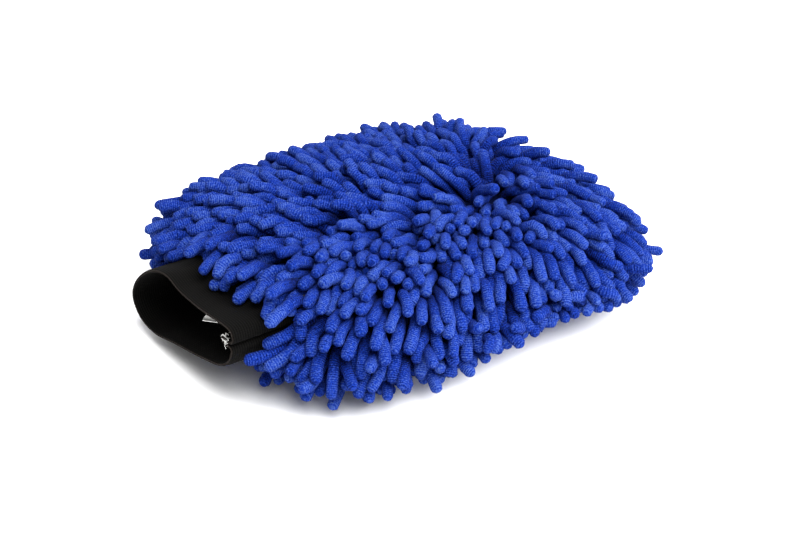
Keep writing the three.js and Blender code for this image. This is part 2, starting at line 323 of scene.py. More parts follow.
@dataclass(frozen=True)
class Pillow:
    """A superellipse in plan carried into another in section: |x/a|^P + (|y/b|^n + |z/c|^n)^(P/n) = 1."""

    wrist: float
    tip: float
    side: float
    rise: float
    drop: float
    seam: float
    plan: float = 4.5
    top: float = 2.6
    palm: float = 3.5

    @property
    def middle(self) -> float:
        """Half way along X."""
        return (self.wrist + self.tip) / 2

    @property
    def reach(self) -> float:
        """Half the length along X."""
        return (self.tip - self.wrist) / 2

    def inset(self, depth: float) -> "Pillow":
        """The same pillow, this much smaller on every side."""
        return Pillow(
            self.wrist + depth,
            self.tip - depth,
            self.side - depth,
            self.rise - depth,
            self.drop - depth,
            self.seam,
            self.plan,
            self.top,
            self.palm,
        )

    def point(self, turn: Array, round_turn: Array) -> Array:
        """Points on the surface, each power of sine and cosine keeping its sign.

        x = reach cos^(2/P) turn. y = side sin^(2/P) turn cos^(2/n) round_turn, and z is the same with sines.

        Args:
            turn: from 0 at the fingertips to pi at the wrist.
            round_turn: the turn about X from +Y.

        Returns:
            The points.
        """
        ring = np.sin(turn) ** (2 / self.plan)
        above = np.sin(round_turn) > 0
        power = np.where(above, 2 / self.top, 2 / self.palm)
        height = np.where(above, self.rise, self.drop)
        x = self.middle + self.reach * signed_power(np.cos(turn), 2 / self.plan)
        y = self.side * ring * signed_power(np.cos(round_turn), power)
        z = self.seam + height * ring * signed_power(np.sin(round_turn), power)
        return np.stack(np.broadcast_arrays(x, y, z), -1)

    def distance(self, points: Array) -> tuple[Array, Array]:
        """How far points stand outside the surface, to first order, and the outward direction there.

        Args:
            points: any number of points.

        Returns:
            The signed distances and the unit normals.
        """
        x = (points[..., 0] - self.middle) / self.reach
        y = points[..., 1] / self.side
        above = points[..., 2] > self.seam
        height = np.where(above, self.rise, self.drop)
        power = np.where(above, self.top, self.palm)
        z = (points[..., 2] - self.seam) / height
        wide, tall = np.abs(y) + 1e-9, np.abs(z) + 1e-9
        section = (wide**power + tall**power) ** (1 / power)
        level = (np.abs(x) ** self.plan + section**self.plan) ** (1 / self.plan)
        gain_x = (np.abs(x) / level) ** (self.plan - 1) * np.sign(x) / self.reach
        gain = (section / level) ** (self.plan - 1)
        gain_y = gain * (wide / section) ** (power - 1) * np.sign(y) / self.side
        gain_z = gain * (tall / section) ** (power - 1) * np.sign(z) / height
        slope = np.stack([gain_x, gain_y, gain_z], -1)
        size = np.maximum(np.linalg.norm(slope, axis=-1), 1e-9)
        return (level - 1) / size, slope / size[..., None]

    def even_turns(self, count: int, stop: float = math.pi) -> Array:
        """Turns from the fingertips towards stop that are evenly spaced along the top of the pillow.

        Args:
            count: how many.
            stop: the turn that isn't passed.

        Returns:
            The turns, which go up.
        """
        fine = np.linspace(0.0, 1.0, FINE_STEPS) ** 2 * 0.5
        fine = math.pi * np.concatenate([fine, 1 - fine[-2::-1]])
        fine = fine[fine <= stop + 1e-9]
        line = self.point(fine, np.full_like(fine, 0.25 * math.pi))
        run = running_length(line)
        return np.interp(np.linspace(0.0, run[-1], count), run, fine)

    def even_round(self, count: int, half: Half) -> Array:
        """Turns about X over one half that are evenly spaced along its widest section, from +Y to -Y.

        Args:
            count: how many.
            half: which half of the pouch.

        Returns:
            The turns.
        """
        fine = np.linspace(0.0, 1.0, FINE_STEPS) ** 2 * 0.5
        fine = math.pi * np.concatenate([fine, 1 - fine[-2::-1]]) * half.value
        line = self.point(np.full_like(fine, math.pi / 2), fine)
        run = running_length(line)
        return np.interp(np.linspace(0.0, run[-1], count), run, fine)


@dataclass(frozen=True)
class CuffOutline:
    """The bean-shaped ring that the relaxed elastic falls into, as [across, up from the side seam]."""

    line: tuple[tuple[float, float], ...] = (
        (-57.5, 13.5), (-53, 17.5), (-28, 15.8), (-8, 16.2), (7, 19), (24, 14), (41, 2), (49, -11),
        (42, -20.5), (26, -22.5), (5, -18), (-22, -12.5), (-43, -7), (-52, -1), (-55.5, 5),
    )
    seam: tuple[float, float] = (-53, 9)
    turn_in: float = 6.0
    lip: float = 1.1

    @staticmethod
    def spline(knots: Array, closed: bool, count: int) -> Array:
        """A Catmull-Rom curve through the knots, evenly spaced by length.

        Args:
            knots: the points that it passes through.
            closed: whether it returns to its start.
            count: how many points to give back.

        Returns:
            count points. A closed curve doesn't repeat its first.
        """
        if closed:
            padded = np.concatenate([knots[-1:], knots, knots[:2]])
        else:
            padded = np.concatenate([2 * knots[:1] - knots[1:2], knots, 2 * knots[-1:] - knots[-2:-1]])
        share = np.linspace(0.0, 1.0, 32, endpoint=False)[None, :, None]
        fine = catmull_rom(tuple(padded[k : len(padded) - 3 + k, None, :] for k in range(4)), share)
        fine = np.concatenate([fine.reshape(-1, knots.shape[1]), padded[-2:-1]])
        run = running_length(fine)
        stations = np.linspace(0.0, run[-1], count, endpoint=not closed)
        return np.stack([np.interp(stations, run, fine[:, k]) for k in range(knots.shape[1])], -1)

    def ring(self, count: int, seam_height: float) -> Array:
        """The ring in metres as (y, z), without the turned-in ends."""
        ring = self.spline(np.array(self.line), True, count) * MM
        return ring + np.array([0.0, seam_height])

    def strip(self, count: int, seam_height: float) -> Array:
        """The elastic's middle line in metres, from one turned-in end round to the other.

        Args:
            count: how many points.
            seam_height: the side seam's height.

        Returns:
            The points as (y, z).
        """
        y, z = self.seam
        upper = [(y + self.turn_in, z + self.lip), (y + self.turn_in / 2, z + self.lip)]
        upper += [(y - 1.5, z + 1.1 * self.lip), (y - 3.4, z + 2.1 * self.lip)]
        lower = [(a, 2 * z - b) for a, b in reversed(upper[:-1])]
        lower.insert(0, (y - 2.9, z - 1.9 * self.lip))
        knots = np.array([*upper, *self.line, *lower], float)
        return self.spline(knots, False, count) * MM + np.array([0.0, seam_height])


# ---------------------------------------------------------------------------------------------------------
# Finishes
# ---------------------------------------------------------------------------------------------------------


class Nodes:
    """A material's node tree with short calls to add and join nodes."""

    def __init__(self, tree: bpy.types.NodeTree) -> None:
        """Keeps the tree that nodes are added to."""
        self.tree = tree

    def add(self, kind: str, inputs: dict | None = None, **settings: object) -> bpy.types.Node:
        """Adds a node, sets its properties, and sets or links its inputs.

        Args:
            kind: the node's type name.
            inputs: input name or index to a value, or to a socket that is linked to it.
            settings: the node's own properties.

        Returns:
            The new node.
        """
        node = self.tree.nodes.new(kind)
        for name, value in settings.items():
            setattr(node, name, value)
        for name, value in (inputs or {}).items():
            if isinstance(value, bpy.types.NodeSocket):
                self.tree.links.new(value, node.inputs[name])
            else:
                node.inputs[name].default_value = value
        return node

    def math(self, operation: str, *values: object) -> bpy.types.NodeSocket:
        """A Math node's result for the given values or sockets."""
        return self.add("ShaderNodeMath", dict(enumerate(values)), operation=operation).outputs[0]

    def texture_place(self) -> tuple[bpy.types.NodeSocket, bpy.types.NodeSocket]:
        """The two texture coordinates, across and along."""
        place = self.add("ShaderNodeUVMap", uv_map="along").outputs[0]
        return tuple(self.add("ShaderNodeSeparateXYZ", {0: place}).outputs[:2])

    def object_place(self) -> bpy.types.NodeSocket:
        """The place in the piece's own space."""
        return self.add("ShaderNodeTexCoord").outputs["Object"]

    def wave(self, operation: str, value: object, pitch: float) -> bpy.types.NodeSocket:
        """A SINE or COSINE of value that repeats every pitch."""
        return self.math(operation, self.math("MULTIPLY", value, 2 * math.pi / pitch))

    def relief(self, shader: bpy.types.Node, height: object, depth: float, strength: float = 1.0) -> None:
        """Bends the shader's normal by a height.

        Args:
            shader: the shader.
            height: the height, from 0 to about 1.
            depth: the depth in metres that a height of 1 stands for.
            strength: how much of it is used.
        """
        settings = {"Height": height, "Distance": depth, "Strength": strength}
        bump = self.add("ShaderNodeBump", settings)
        self.tree.links.new(bump.outputs[0], shader.inputs["Normal"])

    def ramp(self, value: object, low: tuple, high: tuple) -> bpy.types.NodeSocket:
        """A colour between two others.

        Args:
            value: 0 for the low colour and 1 for the high one.
            low: the low colour.
            high: the high colour.

        Returns:
            The colour's socket.
        """
        node = self.add("ShaderNodeMix", {"Factor": value}, data_type="RGBA")
        node.inputs[6].default_value = (*low, 1.0)
        node.inputs[7].default_value = (*high, 1.0)
        return node.outputs[2]


def new_material(name: str) -> tuple[bpy.types.Material, Nodes, bpy.types.Node]:
    """An empty material, its nodes, and its Principled shader."""
    material = bpy.data.materials.new(name)
    material.use_nodes = True
    return material, Nodes(material.node_tree), material.node_tree.nodes["Principled BSDF"]


def fibre_group() -> bpy.types.NodeTree:
    """The fine fuzz of spun fibre that all the cloth finishes share.

    It is noise at the fibre's scale, and noise 17 times wider for patches of it.

    Returns:
        A node group with Vector and Scale in, and Fuzz and Patch out.
    """
    found = bpy.data.node_groups.get("fibre_fuzz")
    if found:
        return found
    group = bpy.data.node_groups.new("fibre_fuzz", "ShaderNodeTree")
    face = group.interface
    face.new_socket("Vector", in_out="INPUT", socket_type="NodeSocketVector")
    scale = face.new_socket("Scale", in_out="INPUT", socket_type="NodeSocketFloat")
    scale.default_value = 2000.0
    face.new_socket("Fuzz", in_out="OUTPUT", socket_type="NodeSocketFloat")
    face.new_socket("Patch", in_out="OUTPUT", socket_type="NodeSocketFloat")
    nodes = Nodes(group)
    start = nodes.add("NodeGroupInput")
    fuzz = nodes.add(
        "ShaderNodeTexNoise", {"Vector": start.outputs[0], "Scale": start.outputs[1], "Detail": 3.0}
    )
    wide = nodes.math("MULTIPLY", start.outputs[1], 0.06)
    patch = nodes.add("ShaderNodeTexNoise", {"Vector": start.outputs[0], "Scale": wide, "Detail": 1.0})
    nodes.add("NodeGroupOutput", {0: fuzz.outputs[0], 1: patch.outputs[0]})
    return group


def fuzz_of(nodes: Nodes, scale: float) -> bpy.types.Node:
    """Places the shared fuzz group in a material, in the piece's own space."""
    return nodes.add("ShaderNodeGroup", {0: nodes.object_place(), 1: scale}, node_tree=fibre_group())


@dataclass(frozen=True)
class ChenilleFinish:
    """Velvety microfibre: fine rings of pile round each noodle, speckled with the ends of its loops.

    The colour runs over three stops, from painted shade in the depth between loops to a painted highlight on
    the tips of the fibre. Painted shade makes it darkest over a stretch at the root, and it takes its full
    tone further along.
    """

    # The low stop is painted shade between the loops. The middle stop is the fibre's own blue, and the high
    # stop is that blue with a painted highlight.
    depth: tuple[float, float, float] = (0.0001, 0.0010, 0.024)
    body: tuple[float, float, float] = (0.0046, 0.0220, 0.210)
    crest_highlight: tuple[float, float, float] = (0.050, 0.093, 0.30)
    # Painted shade along the root: darkest up to the first length, gone by the second.
    root_shaded_length: float = 6.0 * MM
    root_shade_end: float = 21.0 * MM
    ring_pitch: float = 1.05 * MM
    ring_height: float = 0.5 * MM
    ring_wander: float = 7.0
    ring_share: float = 0.30
    speckle_scale: float = 1350.0
    speckle_gain: float = 3.4
    speckle_start: float = -1.20
    speckle_share: float = 0.46
    tone_share: float = 0.24
    lowest: float = 0.05
    # How far the painted shade at the root pulls the colour down.
    root_shade: float = -0.45
    body_stop: float = 0.52
    ring_relief: float = 0.55

    def build(self) -> bpy.types.Material:
        """Makes the material."""
        material, nodes, shader = new_material("chenille")
        _, along = nodes.texture_place()
        fuzz = fuzz_of(nodes, self.speckle_scale)
        speckle = nodes.math("MULTIPLY_ADD", fuzz.outputs[0], self.speckle_gain, self.speckle_start)
        wander = nodes.math("MULTIPLY", fuzz.outputs[1], self.ring_wander)
        turns = nodes.math("MULTIPLY", along, 2 * math.pi / self.ring_pitch)
        rings = nodes.math("MULTIPLY_ADD", nodes.math("SINE", nodes.math("ADD", turns, wander)), 0.5, 0.5)
        tone = nodes.add("ShaderNodeAttribute", attribute_name="tone").outputs["Fac"]
        speckled = nodes.math("MULTIPLY", speckle, self.speckle_share)
        pile = nodes.math("MULTIPLY_ADD", rings, self.ring_share, speckled)
        pile = nodes.math("ADD", pile, nodes.math("MULTIPLY_ADD", tone, self.tone_share, self.lowest))
        # Painted shade, darkest at the root of each noodle and fading out along it.
        shade = {0: along, 1: self.root_shaded_length, 2: self.root_shade_end, 3: self.root_shade, 4: 0.0}
        pile = nodes.math("ADD", pile, nodes.add("ShaderNodeMapRange", shade).outputs[0])
        # From painted shade at the low stop to a painted highlight at the high stop.
        stops = nodes.add("ShaderNodeValToRGB", {0: pile})
        stops.color_ramp.elements[0].color = (*self.depth, 1.0)
        stops.color_ramp.elements[1].color = (*self.crest_highlight, 1.0)
        stops.color_ramp.elements.new(self.body_stop).color = (*self.body, 1.0)
        nodes.tree.links.new(stops.outputs[0], shader.inputs["Base Color"])
        height = nodes.math("MULTIPLY_ADD", rings, self.ring_relief, speckle)
        nodes.relief(shader, height, self.ring_height, 0.8)
        shader.inputs["Roughness"].default_value = 0.75
        shader.inputs["Specular IOR Level"].default_value = 0.02
        shader.inputs["Sheen Weight"].default_value = 0.015
        shader.inputs["Sheen Roughness"].default_value = 0.5
        shader.inputs["Sheen Tint"].default_value = (0.55, 0.68, 1.0, 1.0)
        return material


@dataclass(frozen=True)
class KnitFinish:
    """A plain knitted cloth: small loops in rows and columns, with fuzz over them."""

    name: str
    deep: tuple[float, float, float]
    light: tuple[float, float, float]
    pitch: float = 1.2 * MM
    height: float = 0.2 * MM
    roughness: float = 0.9
    sheen: float = 0.2
    specular: float = 0.2
    row_rate: float = 0.7
    fibre_scale: float = 2200.0
    fuzz_share: float = 0.4

    def build(self) -> bpy.types.Material:
        """Makes the material."""
        material, nodes, shader = new_material(self.name)
        across, along = nodes.texture_place()
        columns = nodes.wave("SINE", across, self.pitch)
        rows = nodes.wave("SINE", along, self.pitch / self.row_rate)
        loops = nodes.math("MULTIPLY_ADD", nodes.math("MULTIPLY", columns, rows), 0.5, 0.5)
        fuzz = nodes.math("MULTIPLY", fuzz_of(nodes, self.fibre_scale).outputs[0], self.fuzz_share)
        mask = nodes.math("MULTIPLY_ADD", loops, 1 - self.fuzz_share, fuzz)
        nodes.tree.links.new(nodes.ramp(mask, self.deep, self.light), shader.inputs["Base Color"])
        nodes.relief(shader, nodes.math("ADD", fuzz, loops), self.height)
        shader.inputs["Roughness"].default_value = self.roughness
        shader.inputs["Sheen Weight"].default_value = self.sheen
        shader.inputs["Specular IOR Level"].default_value = self.specular
        return material


@dataclass(frozen=True)
class ElasticFinish:
    """Black ribbed elastic: a painted highlight makes its rib crowns a little grey, painted shade leaves its
    grooves near black, and its mouth edge is lighter and browner.
    """

    # Painted shade in the rib grooves and a painted highlight on the rib crowns, over the elastic's
    # near-black colour.
    groove_shade: tuple[float, float, float] = (0.0002, 0.0002, 0.0002)
    crown: tuple[float, float, float] = (0.0038, 0.0036, 0.0034)
    # A lighter, browner colour along the mouth edge.
    edge: tuple[float, float, float] = (0.016, 0.012, 0.010)
    edge_width: float = 0.7 * MM
    stitch: float = 0.9 * MM
    rib: float = 1.25 * MM
    rib_share: float = 0.40
    base: float = 0.35
    fuzz_share: float = 0.35
    stitch_share: float = 0.08
    fibre_scale: float = 3000.0

    def build(self) -> bpy.types.Material:
        """Makes the material."""
        material, nodes, shader = new_material("ribbed_elastic")
        across, along = nodes.texture_place()
        rib = nodes.wave("COSINE", along, self.rib)
        loop = nodes.wave("SINE", across, self.stitch)
        fuzz = fuzz_of(nodes, self.fibre_scale).outputs[0]
        # Painted light: the mask follows the ribs, lighter on their crowns and darker in their grooves.
        mask = nodes.math("MULTIPLY_ADD", rib, self.rib_share, self.base)
        mask = nodes.math("MULTIPLY_ADD", fuzz, self.fuzz_share, mask)
        mask = nodes.math("MULTIPLY_ADD", loop, self.stitch_share, mask)
        clean = nodes.add("ShaderNodeClamp", {0: mask}).outputs[0]
        # Lighter and browner along the mouth edge.
        mouth_edge_share = nodes.add("ShaderNodeMapRange", {0: along, 1: 0.0, 2: self.edge_width, 3: 1.0, 4: 0.0})
        mix = nodes.add("ShaderNodeMix", {"Factor": mouth_edge_share.outputs[0]}, data_type="RGBA")
        nodes.tree.links.new(nodes.ramp(clean, self.groove_shade, self.crown), mix.inputs[6])
        mix.inputs[7].default_value = (*self.edge, 1.0)
        nodes.tree.links.new(mix.outputs[2], shader.inputs["Base Color"])
        nodes.relief(shader, nodes.math("MULTIPLY_ADD", loop, 0.4, fuzz), 0.12 * MM, 0.6)
        shader.inputs["Roughness"].default_value = 0.85
        shader.inputs["Specular IOR Level"].default_value = 0.03
        shader.inputs["Sheen Weight"].default_value = 0.006
        return material


@dataclass(frozen=True)
class FoamFinish:
    """Open-cell foam: round pores in a pale, slightly yellowed body."""

    pore: tuple[float, float, float] = (0.42, 0.38, 0.28)
    body: tuple[float, float, float] = (0.76, 0.72, 0.60)
    pore_scale: float = 900.0
    pore_depth: float = 0.5 * MM

    def build(self) -> bpy.types.Material:
        """Makes the material."""
        material, nodes, shader = new_material("foam")
        pores = nodes.add("ShaderNodeTexVoronoi", {"Vector": nodes.object_place(), "Scale": self.pore_scale})
        cells = pores.outputs["Distance"]
        mask = nodes.math("MULTIPLY_ADD", fuzz_of(nodes, 1200.0).outputs[0], 0.4, cells)
        nodes.tree.links.new(nodes.ramp(mask, self.pore, self.body), shader.inputs["Base Color"])
        nodes.relief(shader, cells, self.pore_depth)
        shader.inputs["Roughness"].default_value = 0.95
        return material


@dataclass(frozen=True)
class ThreadFinish:
    """Spun sewing thread with its ply showing as slanted lines."""

    name: str
    deep: tuple[float, float, float]
    light: tuple[float, float, float]
    lay: float = 0.5 * MM
    fibre_scale: float = 4000.0

    def build(self) -> bpy.types.Material:
        """Makes the material."""
        material, nodes, shader = new_material(self.name)
        across, along = nodes.texture_place()
        slant = nodes.math("MULTIPLY", along, 2 * math.pi / self.lay)
        ply = nodes.math("MULTIPLY_ADD", across, 2 * math.pi, slant)
        lines = nodes.math("MULTIPLY_ADD", nodes.math("SINE", ply), 0.5, 0.5)
        fuzz = nodes.math("MULTIPLY", fuzz_of(nodes, self.fibre_scale).outputs[0], 0.5)
        mask = nodes.math("MULTIPLY_ADD", lines, 0.5, fuzz)
        nodes.tree.links.new(nodes.ramp(mask, self.deep, self.light), shader.inputs["Base Color"])
        nodes.relief(shader, lines, 0.08 * MM)
        shader.inputs["Roughness"].default_value = 0.7
        shader.inputs["Sheen Weight"].default_value = 0.2
        return material


# ---------------------------------------------------------------------------------------------------------
# The pile of noodles
# ---------------------------------------------------------------------------------------------------------


@dataclass
class NoodlePile:
    """The chenille noodles: rooted evenly over the pouch, combed, and let settle against each other.

    A lean is an angle in degrees from straight up off the cloth, given as (at the root, at the tip). A drift
    is how far the brush runs along +X for each unit across. A table over X gives its stations first.
    """

    pouch: Pillow
    pile: Pillow
    cuff_ring: Array
    cuff_end: float
    # How many there are, and how big
    top_count: int = 780
    palm_count: int = 460
    radius: float = 2.95 * MM
    length: float = 27.5 * MM
    tip_spacing: float = 7.4 * MM
    beads: int = 8
    seed: int = 11
    sides: int = 8
    thrown: int = 16000
    lengths: tuple = (0.88, 1.10)
    girths: tuple = (0.92, 1.07)
    # How they are combed
    tousle: float = 0.16
    lean_scatter: float = 9.0
    parting_width: float = 28.0 * MM
    palm_parting_width: float = 30.0 * MM
    steep_start: float = 0.45
    steep_range: float = 0.5
    brush_down: float = 0.9
    crown_lean: float = 0.82
    crown_rise: float = 0.18
    lean_stations: tuple = (-0.09, -0.06, -0.02, 0.05, 0.085, 0.10)
    near_lean: tuple = ((50, 96), (46, 82), (50, 90), (56, 102), (54, 102), (52, 102))
    far_lean: tuple = ((44, 88), (44, 86), (42, 82), (42, 80), (50, 88), (54, 94))
    side_lean: tuple = ((24, 58), (30, 68), (40, 88), (46, 92), (34, 76), (20, 56))
    palm_lean: tuple = (52, 78)
    palm_side_lean: tuple = (8, 20)
    parting: tuple = (
        (-0.09, -0.046, -0.012, 0.028, 0.062, 0.085, 0.1),
        (-0.018, -0.019, -0.027, -0.030, -0.020, 0.03, 0.07),
    )
    far_drift: tuple = ((-0.09, -0.06, -0.03, 0.04, 0.07, 0.10), (-2.1, -1.2, -0.45, -0.15, 0.3, 1.0))
    near_drift: tuple = (
        (-0.09, -0.07, -0.045, -0.012, 0.02, 0.05, 0.08, 0.10),
        (-1.15, -0.9, -0.75, -0.70, -0.42, -0.25, 0.15, 0.8),
    )
    palm_drift: float = 0.6
    # The rim round the cuff: lifts and steps in millimetres for its upper and lower tier
    rim_lean: tuple = (64, 98)
    rim_gain: tuple = (1.16, 0.8)
    rim_spacing: float = 5.8 * MM
    rim_lift: tuple = (4.0, 2.2)
    rim_step: tuple = (0.0, -4.0)
    rim_brush: tuple = (-1.0, -0.5, -0.1)
    rim_scatter: float = 8.0
    # How they settle: the pull back to the combed line at each bead, then speeds, gaps and spreads
    memory: tuple = (0.5, 0.35, 0.2, 0.12, 0.09, 0.07, 0.06)
    damping: float = 0.82
    fall: float = 0.04 * MM
    top_speed: float = 1.2 * MM
    squeeze: float = 0.93
    spread: float = 0.06
    # The pile's outside, and how far in millimetres single noodles stand out of it
    stand_out: tuple = (-1.0, 4.0)
    wrist_zone: float = 15.0 * MM
    wrist_stand_out: float = 6.0 * MM
    rim_stand_out: float = 12.0 * MM
    floor_gap: float = 1.15
    tip_skew: float = 0.13
    near_edge: tuple = ((-0.10, -0.04, 0.03, 0.10), (-0.022, -0.007, 0.003, -0.010))
    hem_lift: tuple = ((-0.08, -0.045, -0.03, 0.0, 0.05, 0.10), (0.0, 0.005, 0.011, 0.020, 0.021, 0.008))

    def roots(self, half: Half, count: int, rng: np.random.Generator) -> Array:
        """Points spread evenly over one half of the pouch, clear of the wrist opening.

        Many points are thrown at the surface by area. Then each next root is the one that is farthest from
        all the roots so far.

        Args:
            half: which half of the pouch.
            count: how many roots.
            rng: the source of chance.

        Returns:
            The root points.
        """
        cells = 160
        turns = self.pouch.even_turns(cells + 1)
        rounds = self.pouch.even_round(cells + 1, half)
        grid = self.pouch.point(turns[:, None], rounds[None, :])
        one, two = grid[1:, 1:] - grid[:-1, :-1], grid[1:, :-1] - grid[:-1, 1:]
        area = np.linalg.norm(np.cross(one, two), axis=-1).ravel()
        cell = rng.choice(len(area), self.thrown, p=area / area.sum())
        i, j = np.divmod(cell, cells)
        a, b = rng.random((2, len(cell), 1))
        low = grid[i, j] * (1 - a) + grid[i, j + 1] * a
        high = grid[i + 1, j] * (1 - a) + grid[i + 1, j + 1] * a
        thrown = low * (1 - b) + high * b
        signed, _ = self.ring_distance(thrown)
        inside = (signed < self.radius) & (thrown[:, 0] < self.cuff_end + self.radius)
        thrown = thrown[~inside]
        chosen = np.zeros(count, int)
        away = np.full(len(thrown), np.inf)
        for k in range(1, count):
            away = np.minimum(away, np.sum((thrown - thrown[chosen[k - 1]]) ** 2, axis=1))
            chosen[k] = np.argmax(away)
        return thrown[chosen]

    def ring_distance(self, points: Array) -> tuple[Array, Array]:
        """How far points stand outside the cuff's ring, seen along X.

        Args:
            points: the points.

        Returns:
            The signed distances, and the outward directions as (y, z).
        """
        ahead = unit(np.roll(self.cuff_ring, -1, axis=0) - np.roll(self.cuff_ring, 1, axis=0))
        outward = np.stack([-ahead[:, 1], ahead[:, 0]], -1)
        gap = points[:, None, 1:] - self.cuff_ring[None]
        nearest = np.argmin(np.sum(gap**2, axis=-1), axis=1)
        normal = outward[nearest]
        return np.sum(gap[np.arange(len(points)), nearest] * normal, axis=-1), normal

    def comb(self, root: Array, normal: Array, half: Half, rng: np.random.Generator) -> Array:
        """The line that each noodle was brushed to: up off the cloth, then over with the brush.

        The brush runs to both sides of a parting on the top, past both ends, and down where the pouch is
        steep. At each bead the line leans from the outward direction towards the brush by an angle that
        grows from root to tip.

        Args:
            root: the root points.
            normal: the outward direction at each.
            half: which half of the pouch.
            rng: the source of chance.

        Returns:
            Noodles x steps x 3, the unit direction of each step from bead to bead.
        """
        x, y = root[:, 0], root[:, 1]
        steep = np.sqrt(np.clip(1 - normal[:, 2] ** 2, 0, 1))
        side_share = smooth_step((steep[:, None] - self.steep_start) / self.steep_range)
        if half is Half.TOP:
            aside = np.tanh((y - np.interp(x, *self.parting)) / self.parting_width)
            far, near = np.interp(x, *self.far_drift), np.interp(x, *self.near_drift)
            far_share = smooth_step(0.5 + 0.5 * aside)
            drift = near + (far - near) * far_share
            brush = np.stack([drift, aside * (1 - 0.3 * np.abs(drift)), -self.brush_down * steep], -1)
            near_lean, far_lean = self.lean_at(x, self.near_lean), self.lean_at(x, self.far_lean)
            flat = near_lean + (far_lean - near_lean) * far_share[:, None]
            lean = flat + side_share * (self.lean_at(x, self.side_lean) - flat)
            crown = np.clip(np.hypot(aside, drift), 0, 1)[:, None]
            lean *= self.crown_lean + self.crown_rise * crown
        else:
            drift = self.palm_drift * np.interp(x, *self.far_drift)
            brush = np.stack([drift, np.tanh(y / self.palm_parting_width), np.zeros_like(x)], -1)
            lean = np.array(self.palm_lean) + side_share * (np.array(self.palm_side_lean) - self.palm_lean)
        brush = brush + self.tousle * rng.standard_normal(brush.shape)
        brush = unit(brush - np.sum(brush * normal, axis=1, keepdims=True) * normal)
        low, high = lean[:, :1], lean[:, 1:]
        share = np.linspace(0, 1, self.beads - 1)[None, :]
        scatter = self.lean_scatter * rng.standard_normal((len(root), 1))
        angle = np.radians(low + (high - low) * share + scatter)[..., None]
        return np.cos(angle) * normal[:, None] + np.sin(angle) * brush[:, None]

    def lean_at(self, x: Array, table: tuple) -> Array:
        """The lean at root and tip, between the stations that a table is given for."""
        values = np.array(table, float)
        return np.stack([np.interp(x, self.lean_stations, values[:, k]) for k in range(2)], -1)

    def rim(self, rng: np.random.Generator) -> tuple[Array, Array, Array]:
        """Roots round the cuff's seam in two tiers by turns, whose noodles lie out along the cuff.

        Args:
            rng: the source of chance.

        Returns:
            The roots, the outward directions and the steps of each noodle.
        """
        ahead = np.roll(self.cuff_ring, -1, axis=0) - np.roll(self.cuff_ring, 1, axis=0)
        outward = unit(np.stack([0 * ahead[:, 0], -ahead[:, 1], ahead[:, 0]], -1))
        run = running_length(self.cuff_ring)
        station = np.arange(0.0, run[-1], self.rim_spacing)
        jitter = 1 * MM * rng.standard_normal(len(station))
        at = np.searchsorted(run, station + jitter).clip(0, len(run) - 1)
        normal = outward[at]
        root = np.concatenate([np.full((len(at), 1), self.cuff_end), self.cuff_ring[at]], axis=1)
        upper = np.arange(len(at)) % 2 == 0
        root = root + normal * np.where(upper, *self.rim_lift)[:, None] * MM
        root[:, 0] += np.where(upper, *self.rim_step) * MM
        brush = np.array(self.rim_brush) + self.tousle * rng.standard_normal(normal.shape)
        brush = unit(brush - np.sum(brush * normal, axis=1, keepdims=True) * normal)
        lean = np.linspace(*self.rim_lean, self.beads - 1)[None, :]
        angle = np.radians(lean + self.rim_scatter * rng.standard_normal((len(at), 1)))[..., None]
        return root, normal, np.cos(angle) * normal[:, None] + np.sin(angle) * brush[:, None]

    def settle(self, bead: Array, rest: Array, free: Array) -> Array:
        """Lets the noodles settle by moving their beads until nothing overlaps.

        In each step the beads fall a little, spring back towards their combed line, keep their spacing,
        straighten, and are pushed out of each other, the pouch, the cuff and the floor, and back inside
        the pile's outside.

        Args:
            bead: noodles x beads x 3, where they start.
            rest: the distance between neighbouring beads of each noodle.
            free: how far each noodle may stand out of the pile's outside.

        Returns:
            The settled beads.
        """
        count, beads = bead.shape[:2]
        owner = np.repeat(np.arange(count), beads)
        spot = np.tile(np.arange(beads), count)
        loose = (spot > 0).astype(float)
        root, combed = bead[:, 0].copy(), bead.copy()
        memory = np.array([1.0, *self.memory])[None, :, None]
        wall = np.where(spot > 1, self.radius, 0.45 * self.radius * spot).reshape(count, beads)
        shell = self.pile.inset(self.radius)
        thick = 2 * self.radius * self.squeeze
        speed = np.zeros_like(bead)
        steps = 220
        for step in range(steps):
            before = bead.copy()
            bead = bead + self.damping * speed
            bead[..., 2] -= self.fall * (np.arange(beads) / beads)[None]
            bead = bead + memory * (combed - bead)
            if step % 6 == 0:
                pairs = self.close_pairs(bead.reshape(-1, 3), owner, 2.5 * self.radius)
                tips = self.close_pairs(bead[:, -1], np.arange(count), 1.3 * self.tip_spacing)
            for _ in range(2):
                bead = self.push_apart(bead, pairs, thick, loose)
                bead = self.spread_tips(bead, tips)
                bead = self.keep_shape(bead, rest)
                bead = self.keep_clear(bead, wall, shell, free)
                bead[:, 0] = root
            speed = np.clip(bead - before, -self.top_speed, self.top_speed)
        return bead

